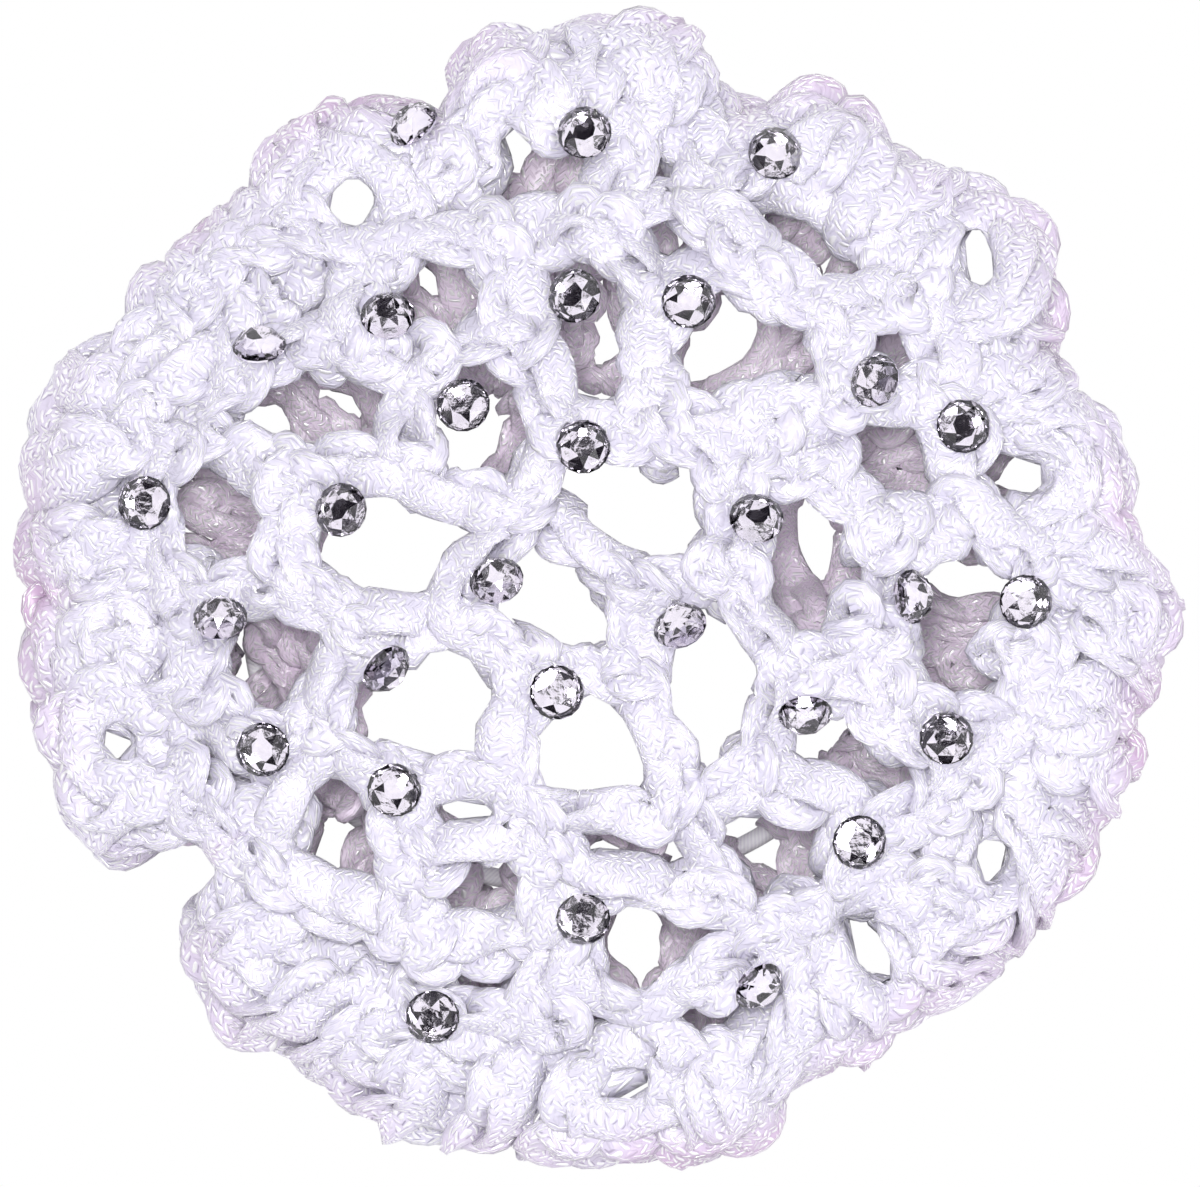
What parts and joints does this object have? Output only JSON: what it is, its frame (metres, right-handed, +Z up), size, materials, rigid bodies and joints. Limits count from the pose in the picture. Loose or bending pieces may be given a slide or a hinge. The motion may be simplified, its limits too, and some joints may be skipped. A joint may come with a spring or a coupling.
{
  "type": "crochet hair snood",
  "caption": "White crocheted bun net with a scalloped border, glued rhinestones and an elastic mouth, lying flat on its gathered side.",
  "frame": {"origin": "on the table, under the middle of the snood's outline", "axes": "+Z up through the crown of the net, +X to the right and +Y to the back as seen in the picture"},
  "size_m": [0.1016, 0.101, 0.0263],
  "materials": {
    "ribbon_yarn": "satin",
    "elastic": "matte",
    "stone": "polished"
  },
  "bodies": {
    "root": {"crown_net": "ribbon_yarn", "edge_ruffle": "ribbon_yarn", "gathered_band": "ribbon_yarn", "elastic_ring": "elastic", "rhinestone_01": "stone", "rhinestone_02": "stone", "rhinestone_03": "stone", "rhinestone_04": "stone", "rhinestone_05": "stone", "rhinestone_06": "stone", "rhinestone_07": "stone", "rhinestone_08": "stone", "rhinestone_09": "stone", "rhinestone_10": "stone", "rhinestone_11": "stone", "rhinestone_12": "stone", "rhinestone_13": "stone", "rhinestone_14": "stone", "rhinestone_15": "stone", "rhinestone_16": "stone", "rhinestone_17": "stone", "rhinestone_18": "stone", "rhinestone_19": "stone", "rhinestone_20": "stone", "rhinestone_21": "stone", "rhinestone_22": "stone", "rhinestone_23": "stone", "rhinestone_24": "stone", "rhinestone_25": "stone", "rhinestone_26": "stone", "rhinestone_27": "stone", "rhinestone_28": "stone", "rhinestone_29": "stone"}
  },
  "joints": []
}
